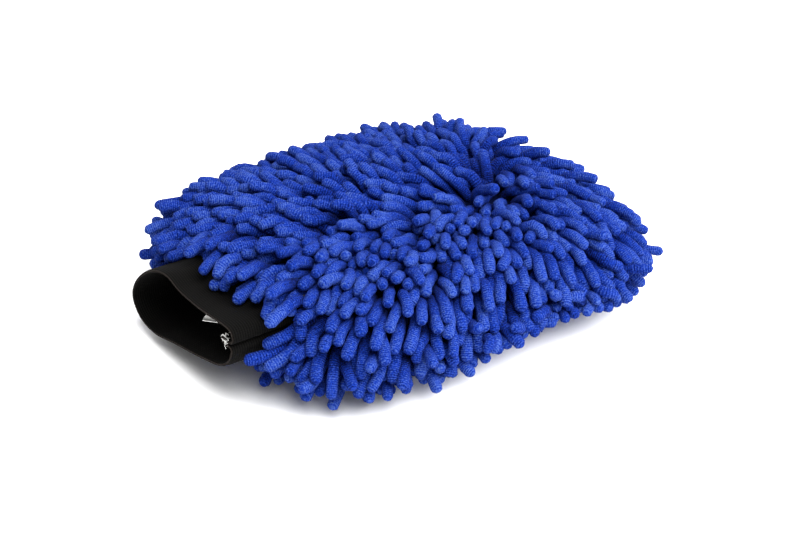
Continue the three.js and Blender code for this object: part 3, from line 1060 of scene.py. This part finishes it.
    @staticmethod
    def close_pairs(points: Array, owner: Array, reach: float) -> tuple[Array, Array]:
        """All pairs of beads of different noodles that are closer than reach, found by sorting into cells.

        Args:
            points: every bead.
            owner: the noodle that each belongs to.
            reach: the distance.

        Returns:
            The two beads of each pair, as indices.
        """
        cell = np.floor(points / reach).astype(np.int64)
        cell -= cell.min(axis=0) - 1
        size = cell.max(axis=0) + 2
        key = (cell[:, 0] * size[1] + cell[:, 1]) * size[2] + cell[:, 2]
        order = np.argsort(key, kind="stable")
        ranked = key[order]
        first, second = [], []
        steps = np.array(np.meshgrid([-1, 0, 1], [-1, 0, 1], [-1, 0, 1])).reshape(3, -1).T
        for step in steps:
            other = key + (step[0] * size[1] + step[1]) * size[2] + step[2]
            low = np.searchsorted(ranked, other, "left")
            many = np.searchsorted(ranked, other, "right") - low
            one = np.repeat(np.arange(len(points)), many)
            within = np.arange(len(one)) - np.repeat(np.cumsum(many) - many, many)
            two = order[np.repeat(low, many) + within]
            keep = (one < two) & (owner[one] != owner[two])
            first.append(one[keep])
            second.append(two[keep])
        one, two = np.concatenate(first), np.concatenate(second)
        near = np.sum((points[one] - points[two]) ** 2, axis=1) < reach**2
        return one[near], two[near]

    @staticmethod
    def push_apart(bead: Array, pairs: tuple[Array, Array], thick: float, loose: Array) -> Array:
        """Moves overlapping beads of different noodles apart, each by its share.

        Args:
            bead: noodles x beads x 3.
            pairs: the two beads of each pair that may touch.
            thick: how far apart their middles stay.
            loose: 1 for each bead that can move and 0 for a root.

        Returns:
            The moved beads.
        """
        flat = bead.reshape(-1, 3)
        one, two = pairs
        gap = flat[one] - flat[two]
        far = np.maximum(np.linalg.norm(gap, axis=1), 1e-9)
        touch = far < thick
        one, two, gap, far = one[touch], two[touch], gap[touch], far[touch]
        share = loose[one] + loose[two]
        push = gap * (0.5 * (thick - far) / far / np.maximum(share, 1.0))[:, None]
        moved = flat.copy()
        number = np.bincount(one, minlength=len(flat)) + np.bincount(two, minlength=len(flat))
        ease = 1.0 / np.maximum(1.0, 0.5 * number)
        for axis, part in enumerate(push.T):
            total = np.bincount(one, part, len(flat)) - np.bincount(two, part, len(flat))
            moved[:, axis] += 2.0 * total * ease * loose
        return moved.reshape(bead.shape)

    def spread_tips(self, bead: Array, pairs: tuple[Array, Array]) -> Array:
        """Moves tips that are closer than their spacing a little apart, and the beads behind them less.

        Args:
            bead: noodles x beads x 3.
            pairs: the two noodles of each pair whose tips may be close.

        Returns:
            The moved beads.
        """
        one, two = pairs
        tip = bead[:, -1]
        gap = tip[one] - tip[two]
        far = np.maximum(np.linalg.norm(gap, axis=1), 1e-9)
        push = gap * (self.spread * np.clip(self.tip_spacing - far, 0.0, None) / far)[:, None]
        total = np.zeros_like(tip)
        for axis, part in enumerate(push.T):
            total[:, axis] = np.bincount(one, part, len(tip)) - np.bincount(two, part, len(tip))
        follow = np.linspace(0.0, 1.0, bead.shape[1]) ** 1.5
        return bead + total[:, None] * follow[None, :, None]

    @staticmethod
    def keep_shape(bead: Array, rest: Array) -> Array:
        """Brings neighbouring beads back to their spacing, and every second bead out to nearly twice it.

        Args:
            bead: noodles x beads x 3.
            rest: the distance between neighbouring beads of each noodle.

        Returns:
            The moved beads.
        """
        moved = bead.copy()
        for hop, stiff, spacing, ease in ((2, 0.6, 1.985, 0.5), (1, 1.0, 1.0, 0.9)):
            gap = moved[:, hop:] - moved[:, :-hop]
            far = np.maximum(np.linalg.norm(gap, axis=-1), 1e-9)
            error = far - rest[:, None] * spacing
            if hop == 2:
                error = np.minimum(error, 0.0)
            fix = gap * (0.5 * stiff * error / far)[..., None]
            total = np.zeros_like(moved)
            total[:, :-hop] += fix
            total[:, hop:] -= fix
            moved += total * ease
        return moved

    def keep_clear(self, bead: Array, wall: Array, shell: Pillow, free: Array) -> Array:
        """Keeps beads outside the pouch and the cuff, above the floor, and inside the pile's outside.

        The pile's outside is skewed at the fingertips and drawn in along the near edge, and the near edge's
        hem is lifted from the floor.

        Args:
            bead: noodles x beads x 3.
            wall: how far each bead must stand off the pouch.
            shell: the pile's outside, less a radius.
            free: how far each noodle may stand out of it.

        Returns:
            The moved beads.
        """
        depth, normal = self.pouch.distance(bead)
        moved = bead + normal * np.clip(wall - depth, 0.0, None)[..., None]
        squared = moved.copy()
        squared[..., 1] -= np.interp(moved[..., 0], *self.near_edge) * smooth_step(-moved[..., 1] / 0.06)
        squared[..., 0] += self.tip_skew * moved[..., 1] * smooth_step(moved[..., 0] / 0.09)
        out, normal = shell.distance(squared)
        moved = moved - normal * (0.5 * np.clip(out - free[:, None], 0.0, None))[..., None]
        flat = moved.reshape(-1, 3)
        by_cuff = np.nonzero(flat[:, 0] < self.cuff_end)[0]
        signed, outward = self.ring_distance(flat[by_cuff])
        lift = np.clip(self.radius + 1.0 * MM - signed, 0.0, 3.0 * self.radius)
        flat[by_cuff, 1:] += outward * lift[:, None]
        moved = flat.reshape(bead.shape)
        hem = np.interp(moved[..., 0], *self.hem_lift) * smooth_step((-0.06 - moved[..., 1]) / 0.03)
        moved[..., 2] = np.maximum(moved[..., 2], self.floor_gap * self.radius + hem)
        return moved

    def grow(self) -> tuple[Array, Array, Array, Array, Array]:
        """Plants, combs and settles every noodle.

        Returns:
            The beads, the radii, the tones, the root's outward direction and which half each is on.
        """
        rng = np.random.default_rng(self.seed)
        starts, outs, ways, halves = [], [], [], []
        for half, count in ((Half.TOP, self.top_count), (Half.PALM, self.palm_count)):
            root = self.roots(half, count, rng)
            _, normal = self.pouch.distance(root)
            starts.append(root)
            outs.append(normal)
            ways.append(self.comb(root, normal, half, rng))
            halves.append(np.full(count, half.value))
        root, normal, way = self.rim(rng)
        starts.append(root)
        outs.append(normal)
        ways.append(way)
        halves.append(np.where(root[:, 2] > self.pouch.seam, 1, -1))
        root, normal, way, half = (np.concatenate(part) for part in (starts, outs, ways, halves))
        total = len(root)
        at_rim = slice(-len(starts[-1]), None)
        length = self.length * rng.uniform(*self.lengths, total)
        length[at_rim] *= np.where(root[at_rim, 2] > self.pouch.seam, *self.rim_gain)
        rest = (length - self.radius) / (self.beads - 1)
        steps = np.concatenate([np.zeros((total, 1, 3)), way * rest[:, None, None]], axis=1)
        bead = root[:, None] + np.cumsum(steps, axis=1)
        free = rng.uniform(*self.stand_out, total) * MM
        free[root[:, 0] < self.cuff_end + self.wrist_zone] += self.wrist_stand_out
        free[at_rim] += self.rim_stand_out
        bead = self.settle(bead, rest, free)
        radius = self.radius * rng.uniform(*self.girths, total)
        return bead, radius, rng.random(total), normal, half

    def skin(self, bead: Array, radius: Array, tone: Array, rng: np.random.Generator) -> Surface:
        """The noodles' surface: a tube along each chain of beads that fills out and closes to a round end.

        Args:
            bead: the settled beads of the noodles.
            radius: each noodle's radius.
            tone: each noodle's tone.
            rng: the source of chance.

        Returns:
            One surface.
        """
        count, beads = bead.shape[:2]
        tip = bead[:, -1:] + unit(bead[:, -1:] - bead[:, -2:-1]) * radius[:, None, None]
        chain = np.concatenate([bead, tip], axis=1)
        body = np.linspace(0.0, 1.0, 8)[:-1] * (beads - 1)
        cap = beads - 1 + np.array([0.0, 0.45, 0.76, 0.94])
        station = np.concatenate([body, cap])
        before, after = 2 * chain[:, :1] - chain[:, 1:2], 2 * chain[:, -1:] - chain[:, -2:-1]
        padded = np.concatenate([before, chain, after], axis=1)
        k = np.minimum(station.astype(int), beads - 1)
        centre = catmull_rom(tuple(padded[:, k + step] for step in range(4)), (station - k)[None, :, None])
        close, roundness = np.clip(station - (beads - 1), 0.0, 1.0), 2.1
        profile = (1 - close**roundness) ** (1 / roundness)
        wobble = 1 + 0.035 * rng.standard_normal((count, len(station)))
        return tube(centre, radius[:, None] * profile * wobble, self.sides, tone)


@dataclass
class PileDresser:
    """Sorts the noodles into the rows that they are sewn in, and makes each row a piece."""

    noodles: NoodlePile
    material: bpy.types.Material
    rows: int = 14
    tufts: int = 6
    facing_end: float = 0.75
    flatten: float = 3.0
    over_cuff: float = 6.0 * MM
    ring_margin: float = 4.0 * MM
    skin_seed: int = 5

    def names(self, root: Array, normal: Array, half: Array, bead: Array) -> Array:
        """The row, tuft or fringe that each noodle belongs to.

        Args:
            root: the noodles' roots.
            normal: the outward direction at each root.
            half: 1 on the top and -1 on the palm.
            bead: the settled beads.

        Returns:
            A piece's name for each noodle.
        """
        pouch = self.noodles.pouch
        name = np.empty(len(root), object)
        for side, prefix in ((Half.TOP, "top"), (Half.PALM, "palm")):
            here = half == side.value
            edges = pouch.point(np.full(self.rows + 1, math.pi / 2), pouch.even_round(self.rows + 1, side))
            lines = np.arctan2(edges[:, 2] - pouch.seam, edges[:, 1] / self.flatten) * side.value
            angle = np.arctan2(root[:, 2] - pouch.seam, root[:, 1] / self.flatten) * side.value
            row = np.clip(np.searchsorted(lines, angle), 1, self.rows)
            label = np.array([f"{prefix}_noodles_{k:02d}" for k in range(self.rows + 1)], object)
            name[here] = label[row[here]]
        at_tip = normal[:, 0] > self.facing_end
        share = (pouch.side - root[:, 1]) / (2 * pouch.side)
        tuft = np.clip((share * self.tufts).astype(int) + 1, 1, self.tufts)
        name[at_tip] = np.array([f"tip_noodles_{k}" for k in range(self.tufts + 1)], object)[tuft[at_tip]]
        at_wrist = normal[:, 0] < -self.facing_end
        name[at_wrist & (root[:, 1] > 0)] = "wrist_noodles_left"
        name[at_wrist & (root[:, 1] <= 0)] = "wrist_noodles_right"
        ring = self.noodles.cuff_ring
        over = bead[:, :, 0].min(axis=1) < self.noodles.cuff_end - self.over_cuff
        low, high = ring[:, 0].min() - self.ring_margin, ring[:, 0].max() + self.ring_margin
        wide = (root[:, 1] > low) & (root[:, 1] < high)
        name[over & wide & (half > 0)] = "fringe_noodles_top"
        name[over & wide & (half < 0)] = "fringe_noodles_palm"
        return name

    def build(self) -> None:
        """Makes every row, tuft and fringe."""
        bead, radius, tone, normal, half = self.noodles.grow()
        name = self.names(bead[:, 0], normal, half, bead)
        rng = np.random.default_rng(self.skin_seed)
        for piece_name in sorted(set(name)):
            here = name == piece_name
            surface = self.noodles.skin(bead[here], radius[here], tone[here], rng)
            piece = make_piece(surface, piece_name, self.material)
            if piece_name.startswith("fringe"):
                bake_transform(piece)
            else:
                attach(piece, "mitt")
                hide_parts(self.node_of(piece_name))
            LOG.info("%s: %d noodles", piece_name, int(here.sum()))

    @staticmethod
    def node_of(piece_name: str) -> str:
        """The frame's node that a row or tuft stands for."""
        kind, _, which = piece_name.partition("_noodles_")
        return f"{kind}_noodle_{'row' if kind in ('top', 'palm') else 'tuft'}_{which}"


# ---------------------------------------------------------------------------------------------------------
# The pouch under the pile
# ---------------------------------------------------------------------------------------------------------


@dataclass
class PouchLayers:
    """The sewn pouch: backing cloth, foam and lining, each as a top and a palm panel."""

    pouch: Pillow
    opening: float = 0.62
    allowance: float = 6.0 * MM
    edge_gap: float = 0.9 * MM
    cut_fill: float = 0.936
    along: int = 72
    around: int = 48

    def panel(self, half: Half, outside: float, inside: float) -> tuple[Surface, tuple[float, float]]:
        """One panel of one layer, as a closed sheet that stops at the wrist opening.

        Args:
            half: which half of the pouch.
            outside: how deep its outer face lies.
            inside: how deep its inner face lies.

        Returns:
            Its surface, and the width and length it is cut to with its seam allowance.
        """
        outer, inner = self.pouch.inset(outside), self.pouch.inset(inside)
        stop = math.pi - math.asin(self.opening ** (outer.plan / 2))
        turns = outer.even_turns(self.along, stop)[1:]
        rounds = outer.even_round(self.around, half)
        lift = half.value * self.edge_gap
        faces = []
        for layer in (outer, inner):
            grid = layer.point(turns[:, None], rounds[None, :])
            grid[..., 2] += lift * (1 - np.abs(np.sin(rounds)))[None]
            faces.append(grid)
        length = running_length(faces[0][:, self.around // 2])
        width = running_length(faces[0][self.along // 2])
        if half is Half.TOP:
            surface = slab(faces[0], faces[1], length, width)
        else:
            surface = slab(faces[0][:, ::-1], faces[1][:, ::-1], length, width)
        return surface, (width[-1] + 2 * self.allowance, length[-1] + self.allowance)

    def build(self, backing: KnitFinish, foam: FoamFinish, lining: KnitFinish) -> None:
        """Makes the six panels."""
        layers = (
            ("backing_cloth", 0.0, 1.2, backing.build(), "backing_cloth"),
            ("foam_pad", 1.6, 5.6, foam.build(), "foam"),
            ("lining", 6.0, 6.8, lining.build(), "lining"),
        )
        for kind, outside, inside, material, slot in layers:
            for half, prefix in ((Half.TOP, "top"), (Half.PALM, "palm")):
                surface, cut = self.panel(half, outside * MM, inside * MM)
                piece = make_piece(surface, f"{prefix}_{kind}_panel", material)
                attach(piece, "mitt")
                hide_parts(f"{prefix}_{kind}")
                LOG.info("%s: cut %.0f x %.0f mm", piece.name, cut[0] / MM, cut[1] / MM)

    def side_seam(self, cloth: bpy.types.Material, thread: bpy.types.Material) -> None:
        """The joined edges of the panels, a flat band, and the overlock thread wound along their inner rim.

        Args:
            cloth: the edges' material.
            thread: the thread's material.
        """
        stop = math.pi - math.asin(self.opening ** (self.pouch.plan / 2))
        turns = self.pouch.even_turns(90, stop)[1:]
        turns = np.concatenate([turns[::-1], turns[1:]])
        sides = np.concatenate([np.zeros(len(turns) // 2 + 1), np.full(len(turns) // 2, math.pi)])
        outer, inner = self.pouch.inset(0.2 * MM), self.pouch.inset(4.9 * MM)
        edges = []
        for layer, lift in ((outer, 0.8), (inner, 0.8), (inner, -0.8), (outer, -0.8)):
            line = layer.point(turns, sides)
            line[:, 2] += lift * MM
            edges.append(line)
        run = running_length(edges[0])
        ring = np.stack(edges, 1)
        across = np.array([0.0, 4.7, 6.3, 11.0, 12.6]) * MM
        count = len(turns)
        quads = grid_quads(count, 4, True)
        uv = grid_uv(run, across)
        ends = np.array([[0, 1, 2, 3], [4 * count - 1, 4 * count - 2, 4 * count - 3, 4 * count - 4]])
        end_uv = np.zeros((2, 4, 2))
        faces, corners = np.concatenate([quads, ends]), np.concatenate([uv, end_uv])
        surface = Surface(ring.reshape(-1, 3), faces, corners)
        piece = make_piece(surface, "side_seam_edges", cloth, smooth=False)
        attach(piece, "mitt")
        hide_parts("side_seam_allowance")
        self.overlock(inner, inner.point(turns, sides), run, thread)

    def overlock(self, rim: Pillow, line: Array, run: Array, thread: bpy.types.Material) -> None:
        """A thread wound in a flat spiral round the seam's inner rim: rim + w cos a outwards + t sin a up.

        Args:
            rim: the shape whose outward direction the spiral leans on.
            line: the seam's inner rim.
            run: the length along the seam at each of its points.
            thread: the thread's material.
        """
        pitch, wide, tall, sunk, thick = 2.4 * MM, 1.2 * MM, 0.9 * MM, 0.6 * MM, 0.28 * MM
        count = int(run[-1] / pitch) * 8
        station = np.linspace(0, run[-1], count)
        centre = np.stack([np.interp(station, run, line[:, k]) for k in range(3)], -1)
        _, outward = rim.distance(centre)
        angle = 2 * math.pi * station / pitch
        path = centre - outward * sunk
        path = path + outward * (wide * np.cos(angle))[:, None]
        path[:, 2] += tall * np.sin(angle)
        surface = tube(path[None], np.full((1, count), thick), 5)
        piece = make_piece(surface, "side_overlock_stitches", thread)
        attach(piece, "mitt")
        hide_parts("side_overlock_thread")
        LOG.info("side seam and its overlock")


# ---------------------------------------------------------------------------------------------------------
# The cuff
# ---------------------------------------------------------------------------------------------------------


@dataclass
class Cuff:
    """The elastic ring with its overlocked seam, the wrist tape and the care label."""

    outline: CuffOutline
    seam_height: float
    mouth: float
    end: float
    cut: tuple[float, float] = (0.043, 0.258)
    thickness: float = 1.8 * MM
    rib: float = 1.25 * MM
    rib_height: float = 0.24 * MM
    rib_rows: int = 5
    lip: float = 0.25 * MM
    lip_thinning: float = 0.55
    lip_length: float = 0.35 * MM
    bend_length: float = 16.0 * MM
    stitch_pitch: float = 1.9 * MM
    stitch_radius: float = 0.27 * MM
    fray_radius: float = 0.12 * MM
    tape_faces: tuple[float, float] = (3.5, 4.7)
    label_sewn_in: float = 5.0 * MM
    label_slant: float = 8.0 * MM
    label_sag: float = 1.6 * MM
    label_curl: float = 6.5 * MM

    def bend(self, piece: bpy.types.Object) -> None:
        """Bakes the piece's place into its mesh.

        Args:
            piece: the piece.
        """
        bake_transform(piece)

    def elastic(self, material: bpy.types.Material) -> None:
        """The elastic strip: its section carried along X, with a rounded rib every rib's width.

        Its half thickness is a flat core plus |cos| ribs, and the core thins over the last of the lip.

        Args:
            material: its finish.
        """
        around = 220
        strip = self.outline.strip(around, self.seam_height)
        ahead = unit(np.gradient(strip, axis=0))
        outward = np.stack([-ahead[:, 1], ahead[:, 0]], -1)
        rows = int((self.end - self.mouth) / self.rib * self.rib_rows)
        x = np.linspace(self.mouth + self.lip, self.end, rows)
        ribs = np.abs(np.cos(math.pi * (x - self.mouth) / self.rib))
        edge = 1 - self.lip_thinning * np.exp(-(x - self.mouth - self.lip) / self.lip_length)
        half = (self.thickness / 2 - self.rib_height) * edge + self.rib_height * ribs
        grids = []
        for side in (1, -1):
            grid = np.zeros((rows, around, 3))
            grid[..., 0] = x[:, None]
            grid[..., 1:] = strip[None] + side * half[:, None, None] * outward[None]
            grids.append(grid)
        run = running_length(strip)
        surface = slab(grids[0], grids[1], x - self.mouth, run)
        piece = make_piece(surface, "cuff_ribbed_elastic", material)
        self.bend(piece)
        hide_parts("cuff_elastic")
        LOG.info("elastic: %d ribs", int((self.end - self.mouth) / self.rib))

    def overlock(self, material: bpy.types.Material) -> None:
        """White overlock thread: a spiral round both turned-in ends, with frayed loops at the mouth.

        Args:
            material: the thread's finish.
        """
        y, z = self.outline.seam
        centre_y = (y + self.outline.turn_in) * MM
        centre_z = z * MM + self.seam_height
        turns = (self.end - self.mouth) / self.stitch_pitch
        angle = np.linspace(0, 2 * math.pi * turns, int(turns * 16))
        rng = np.random.default_rng(3)
        path = np.stack(
            [
                self.mouth + 0.4 * MM + angle / (2 * math.pi) * self.stitch_pitch,
                centre_y + (1.3 * np.cos(angle) - 1.0) * MM,
                centre_z + 2.5 * MM * np.sin(angle),
            ],
            -1,
        )
        path += rng.normal(0, 0.05 * MM, path.shape)
        path = path[path[:, 0] < self.end]
        stitches = tube(path[None], np.full((1, len(path)), self.stitch_radius), 6)
        loops, steps = 20, 14
        share = np.linspace(0, 1, steps)[None, :, None]
        start = np.array([self.mouth + 0.5 * MM, centre_y - 3.4 * MM, centre_z])
        start = start + rng.normal(0, 1.0, (loops, 1, 3)) * np.array([0.5, 1.0, 1.2]) * MM
        swing = rng.normal(0, 1.0, (loops, 1, 3)) * np.array([0.6, 1.1, 1.2]) * MM
        curl = rng.normal(0, 1.0, (loops, 1, 3)) * np.array([0.4, 0.6, 0.6]) * MM
        loop = start + swing * (share - 0.3) + curl * np.sin(2 * math.pi * share)
        loop[..., 0] = np.maximum(loop[..., 0], self.mouth - 0.5 * MM)
        frayed = tube(loop, np.full((loops, steps), self.fray_radius), 5)
        piece = make_piece(stitches, "cuff_overlock_stitches", material)
        self.bend(piece)
        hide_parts("cuff_overlock_thread")
        self.bend(make_piece(frayed, "cuff_frayed_thread", material))
        LOG.info("overlock thread")

    def tape(self, material: bpy.types.Material) -> None:
        """The woven tape round the wrist opening, a band outside the cuff's ring.

        Args:
            material: its finish.
        """
        around = 160
        ring = self.outline.ring(around, self.seam_height)
        ahead = unit(np.roll(ring, -1, axis=0) - np.roll(ring, 1, axis=0))
        outward = np.stack([-ahead[:, 1], ahead[:, 0]], -1)
        low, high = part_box("wrist_seam_tape")
        x = np.linspace(low[0], high[0], 9)
        faces = []
        for away in self.tape_faces:
            grid = np.zeros((len(x), around, 3))
            grid[..., 0] = x[:, None]
            grid[..., 1:] = ring[None] + away * MM * outward[None]
            faces.append(grid)
        loop = np.concatenate([faces[0], faces[1][::-1]])
        rows = len(loop)
        closed = np.concatenate([grid_quads(rows, around, True), self.join_ends(rows, around)])
        run = np.arange(around + 1) * (0.24 / around)
        along = np.concatenate([x - x[0], 0.0115 + x[::-1].max() - x[::-1]])
        uv = np.concatenate([grid_uv(along, run), grid_uv(np.array([0.0, 0.0012]), run)])
        surface = Surface(loop.reshape(-1, 3), closed[:, ::-1], uv[:, ::-1])
        piece = make_piece(surface, "wrist_tape", material)
        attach(piece, "mitt")
        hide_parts("wrist_seam_tape")
        LOG.info("wrist tape")

    @staticmethod
    def join_ends(rows: int, columns: int) -> Array:
        """The quads that join a closed grid's last row to its first.

        Args:
            rows: the grid's rows.
            columns: the points in each row.

        Returns:
            The quads as point indices.
        """
        j = np.arange(columns)
        k = (j + 1) % columns
        last = (rows - 1) * columns
        return np.stack([last + j, j, k, last + k], -1)

    def label(self, material: bpy.types.Material) -> None:
        """The satin care label: sewn at the wrist, it sags towards its free end and one corner curls.

        With u from the seam to the free end and v across, it lies sag u^2 + curl u^7 (0.1 + 0.9 v) lower.

        Args:
            material: its finish.
        """
        low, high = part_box("care_label")
        rows, columns = 25, 13
        u = np.linspace(0, 1, rows)[:, None]
        v = np.linspace(0, 1, columns)[None, :]
        x = high[0] - self.label_sewn_in + (low[0] - high[0] + self.label_sewn_in) * u + 0 * v
        y = low[1] + (high[1] - low[1]) * v + self.label_slant * u
        sag = self.label_sag * u**2 + self.label_curl * u**7 * (0.1 + 0.9 * v)
        z = (low[2] + high[2]) / 2 - sag
        half = 0.15 * MM
        top, under = np.stack([x, y, z + half], -1), np.stack([x, y, z - half], -1)
        shown = high[0] - low[0] - self.label_sewn_in
        surface = slab(top, under, (u * shown)[:, 0], (v * (high[1] - low[1]))[0])
        piece = make_piece(surface, "care_label_satin", material)
        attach(piece, "label")
        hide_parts("care_label")
        LOG.info("care label")


# ---------------------------------------------------------------------------------------------------------
# The studio
# ---------------------------------------------------------------------------------------------------------


@dataclass
class Studio:
    """A pale floor, soft light and the camera."""

    azimuth: float = -36.48
    elevation: float = 26.46
    distance: float = 0.70
    lens: float = 57.65
    target: tuple[float, float, float] = (0.0105, 0.0, 0.0291)
    shift: tuple[float, float] = (-0.0034, -0.0381)
    lamps: tuple = (
        ("key", (-0.05, -0.80, 1.2), 1.2, 60.0),
        ("fill", (0.9, -0.9, 0.6), 1.0, 18.0),
        ("rim", (0.3, 1.2, 0.9), 1.0, 12.0),
    )
    sky: float = 0.50
    floor_grey: float = 0.93
    floor_reach: float = 6.0

    def camera(self) -> None:
        """Aims the camera at the target from the azimuth, elevation and distance."""
        a, e = math.radians(self.azimuth), math.radians(self.elevation)
        back = Vector((math.sin(a) * math.cos(e), -math.cos(a) * math.cos(e), math.sin(e)))
        data = bpy.data.cameras.new("camera")
        data.lens = self.lens
        data.sensor_width = 36.0
        data.shift_x, data.shift_y = self.shift
        camera = bpy.data.objects.new("camera", data)
        camera.location = Vector(self.target) + back * self.distance
        camera.rotation_mode = "QUATERNION"
        camera.rotation_quaternion = back.to_track_quat("Z", "Y")
        bpy.context.scene.collection.objects.link(camera)
        bpy.context.scene.camera = camera

    def lamp(self, name: str, place: tuple, size: float, power: float) -> None:
        """A square area light that faces the mitt.

        Args:
            name: its name.
            place: where it stands.
            size: the length of its side.
            power: its watts.
        """
        data = bpy.data.lights.new(name, "AREA")
        data.size = size
        data.energy = power
        lamp = bpy.data.objects.new(name, data)
        lamp.location = place
        lamp.rotation_mode = "QUATERNION"
        lamp.rotation_quaternion = Vector(place).to_track_quat("Z", "Y")
        bpy.context.scene.collection.objects.link(lamp)

    def build(self) -> None:
        """Makes the floor, the lights, the sky and the camera."""
        self.camera()
        for name, place, size, power in self.lamps:
            self.lamp(name, place, size, power)
        world = bpy.data.worlds.new("studio")
        world.use_nodes = True
        sky = world.node_tree.nodes["Background"]
        sky.inputs[0].default_value = (1.0, 1.0, 1.0, 1.0)
        sky.inputs[1].default_value = self.sky
        bpy.context.scene.world = world
        bpy.context.scene.view_settings.view_transform = "Standard"
        mesh = bpy.data.meshes.new("floor")
        far = self.floor_reach
        mesh.from_pydata([(-far, -far, 0), (far, -far, 0), (far, far, 0), (-far, far, 0)], [], [(0, 1, 2, 3)])
        floor = bpy.data.objects.new("floor", mesh)
        bpy.context.scene.collection.objects.link(floor)
        material, _, shader = new_material("pale_floor")
        shader.inputs["Base Color"].default_value = (*[self.floor_grey] * 3, 1.0)
        shader.inputs["Roughness"].default_value = 0.9
        mesh.materials.append(material)


def measure_frame() -> tuple[Pillow, Pillow, dict[str, float]]:
    """Reads the frame's boxes and joints.

    Returns:
        The pouch, the pile, and the cuff's places along X with the side seam's height.
    """
    joints = {joint["name"]: joint for joint in frame["joints"]}
    seam = joints["cuff_tilt"]["pos_m"][2]
    wrist = joints["cuff_tilt"]["pos_m"][0]
    _, top_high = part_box("top_backing_cloth")
    palm_low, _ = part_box("palm_backing_cloth")
    pouch = Pillow(wrist, top_high[0], top_high[1], top_high[2] - seam, seam - palm_low[2], seam, plan=5.0)
    low, high = (np.array(corner) for corner in CAD_BOX)
    cuff_low, cuff_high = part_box("cuff_elastic")
    rows = [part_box(name) for name in frame["nodes"] if "noodle" in name]
    fringe = min(box[0][0] for box in rows) - FRINGE_REACH
    drop = seam - low[2] + PALM_SLACK
    pile = Pillow(fringe, high[0], high[1], high[2] - seam, drop, seam, plan=5.5)
    return pouch, pile, {"seam": seam, "mouth": cuff_low[0], "end": cuff_high[0]}


def main() -> None:
    """Builds the studio and every sub-assembly in order."""
    Studio().build()
    pouch, pile, places = measure_frame()
    outline = CuffOutline()
    ring = outline.ring(96, places["seam"])
    noodles = NoodlePile(pouch, pile, ring, places["end"])
    PileDresser(noodles, ChenilleFinish().build()).build()
    layers = PouchLayers(pouch)
    # The backing's near-black navy is partly its own dark colour and partly painted shade for the gaps
    # between the noodles.
    backing = KnitFinish(
        "backing_knit", (0.0003, 0.0008, 0.006), (0.001, 0.003, 0.022), sheen=0.0, specular=0.02
    )
    lining = KnitFinish("lining_mesh", (0.001, 0.001, 0.001), (0.012, 0.012, 0.013), pitch=1.8 * MM)
    layers.build(backing, FoamFinish(), lining)
    seam_cloth = KnitFinish("seam_cloth", (0.002, 0.003, 0.012), (0.010, 0.013, 0.04)).build()
    dark_thread = ThreadFinish("dark_thread", (0.006, 0.006, 0.01), (0.03, 0.03, 0.04)).build()
    layers.side_seam(seam_cloth, dark_thread)
    cuff = Cuff(outline, places["seam"], places["mouth"], places["end"])
    cuff.elastic(ElasticFinish().build())
    cuff.overlock(ThreadFinish("white_thread", (0.45, 0.45, 0.43), (0.85, 0.85, 0.82)).build())
    cuff.tape(KnitFinish("wrist_tape_weave", (0.002, 0.002, 0.003), (0.014, 0.014, 0.016)).build())
    label = KnitFinish(
        "label_satin", (0.62, 0.61, 0.58), (0.86, 0.85, 0.82), 0.4 * MM, 0.03 * MM, 0.45, 0.3
    )
    cuff.label(label.build())


if __name__ == "__main__":
    main()
